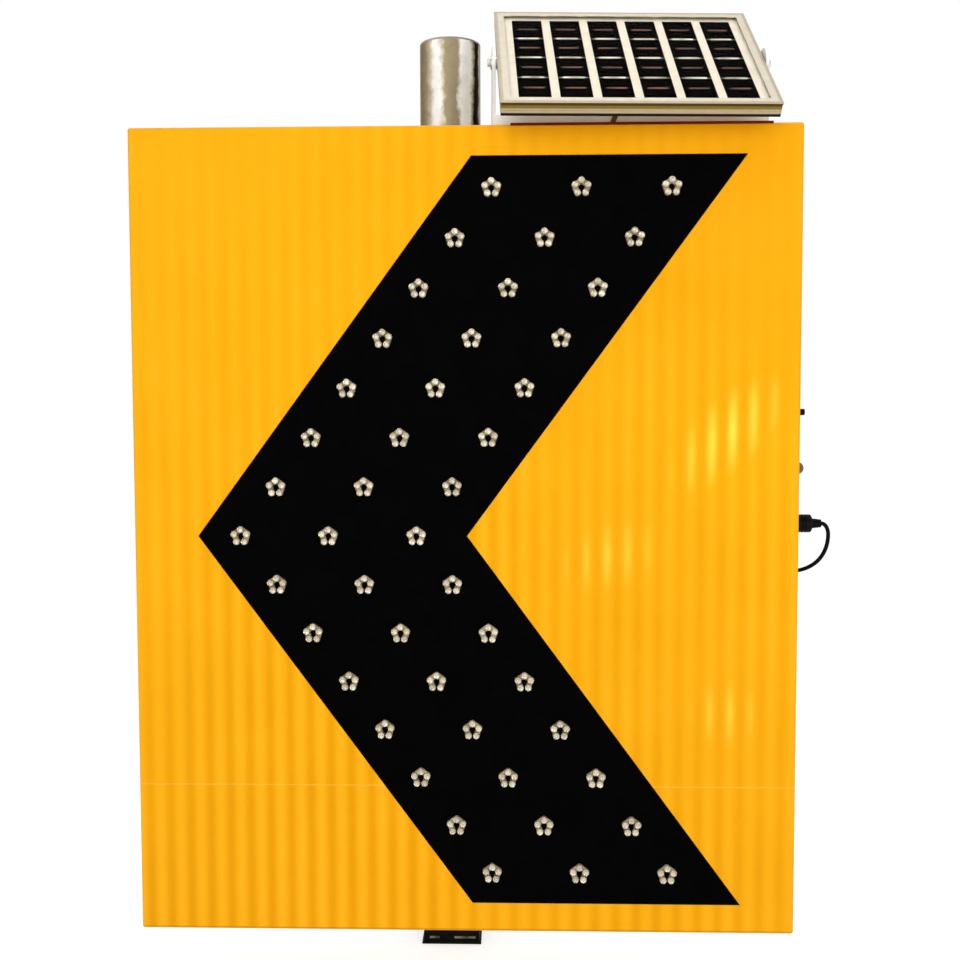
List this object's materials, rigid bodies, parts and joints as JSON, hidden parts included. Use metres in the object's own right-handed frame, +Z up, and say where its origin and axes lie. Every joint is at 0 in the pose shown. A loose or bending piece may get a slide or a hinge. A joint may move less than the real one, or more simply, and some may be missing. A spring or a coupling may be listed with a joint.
{
  "type": "solar lamp chevron sign",
  "caption": "Amber road sign box with a black chevron lit by lamp clusters, clamped to a round post, with a tilting solar panel on a yoke above it.",
  "frame": {"origin": "centre of the underside of the post's foot plug", "axes": "+Z up along the post, the sign's face looks towards -Y, +X to the right of the face"},
  "size_m": [0.6454, 0.2086, 0.9276],
  "materials": {
    "galvanised_steel": "hot-dip galvanised",
    "grey_plastic": "moulded",
    "black_plastic": "moulded",
    "cast_aluminium": "as cast",
    "zinc_steel": "zinc plated",
    "sheet_aluminium": "mill finish",
    "seal_rubber": "foam",
    "cable_rubber": "smooth",
    "amber_film": "retroreflective film",
    "black_film": "smooth film",
    "lamp_resin": "clear",
    "circuit_board": "lacquered",
    "wire_cover": "smooth",
    "battery_wrap": "shrink wrap",
    "white_plastic": "moulded",
    "nickel_brass": "dulled",
    "sensor_resin": "smoked",
    "sensor_black": "moulded",
    "white_paint": "powder coat",
    "anodised_aluminium": "anodised",
    "solar_glass": "clear",
    "solar_cell": "silicon"
  },
  "bodies": {
    "post": {"post_tube": "galvanised_steel", "post_cap": "grey_plastic", "post_foot": "black_plastic"},
    "sign": {"clamp_front_lower": "cast_aluminium", "clamp_front_upper": "cast_aluminium", "clamp_rear_lower": "cast_aluminium", "clamp_rear_upper": "cast_aluminium", "clamp_bolts": "zinc_steel", "clamp_washers": "zinc_steel", "clamp_nuts": "zinc_steel", "rail_lower": "sheet_aluminium", "rail_upper": "sheet_aluminium", "rail_bolts": "zinc_steel", "rail_nuts": "zinc_steel", "rear_cover": "sheet_aluminium", "cover_seal": "seal_rubber", "cover_screws": "zinc_steel", "front_tray": "sheet_aluminium", "face_film": "amber_film", "chevron_film": "black_film", "lamp_bulbs": "lamp_resin", "lamp_boards": "circuit_board", "lamp_wiring": "wire_cover", "battery_pack": "battery_wrap", "battery_strap": "zinc_steel", "strap_screws": "zinc_steel", "controller_board": "circuit_board", "board_spacers": "white_plastic", "board_screws": "zinc_steel", "fitting_wires": "wire_cover", "button_bush": "nickel_brass", "button_nut": "zinc_steel", "button_switch": "black_plastic", "sensor_base": "sensor_black", "sensor_dome": "sensor_resin", "sensor_nut": "zinc_steel", "lead_socket": "black_plastic", "socket_nut": "zinc_steel", "lead_plug": "black_plastic", "solar_lead": "cable_rubber", "lead_clips": "black_plastic", "lead_swivel_loop": "cable_rubber", "swivel_bolt": "zinc_steel", "swivel_sleeve": "zinc_steel", "swivel_washer": "zinc_steel", "swivel_nut": "zinc_steel"},
    "button": {"button_plunger": "black_plastic"},
    "yoke": {"yoke": "white_paint", "yoke_clip": "black_plastic", "lead_tilt_loop": "cable_rubber"},
    "panel": {"pivot_bolts": "zinc_steel", "pivot_washers": "zinc_steel", "pivot_nuts": "zinc_steel", "panel_frame": "anodised_aluminium", "panel_glass": "solar_glass", "panel_cells": "solar_cell", "panel_backsheet": "white_plastic", "junction_box": "black_plastic", "junction_lid": "black_plastic", "lead_gland": "black_plastic"}
  },
  "joints": [
    {"name": "sign_turn", "type": "hinge", "parent": "post", "child": "sign", "pos_m": [0, 0, 0], "axis": [0, 0, 1], "continuous": true},
    {"name": "yoke_swivel", "type": "hinge", "parent": "sign", "child": "yoke", "pos_m": [0.157, -0.0882, 0.8055], "axis": [0, 0, 1], "range_deg": [-10, 7], "deforming": ["lead_swivel_loop"]},
    {"name": "panel_tilt", "type": "hinge", "parent": "yoke", "child": "panel", "pos_m": [0.16898, -0.08759, 0.859], "axis": [0.9987, 0.0506, 0], "range_deg": [-35, 3], "deforming": ["lead_tilt_loop"]},
    {"name": "button_push", "type": "slide", "parent": "sign", "child": "button", "axis": [-1, 0, 0], "range_m": [0, 0.002], "stiffness_N_per_m": 300}
  ]
}
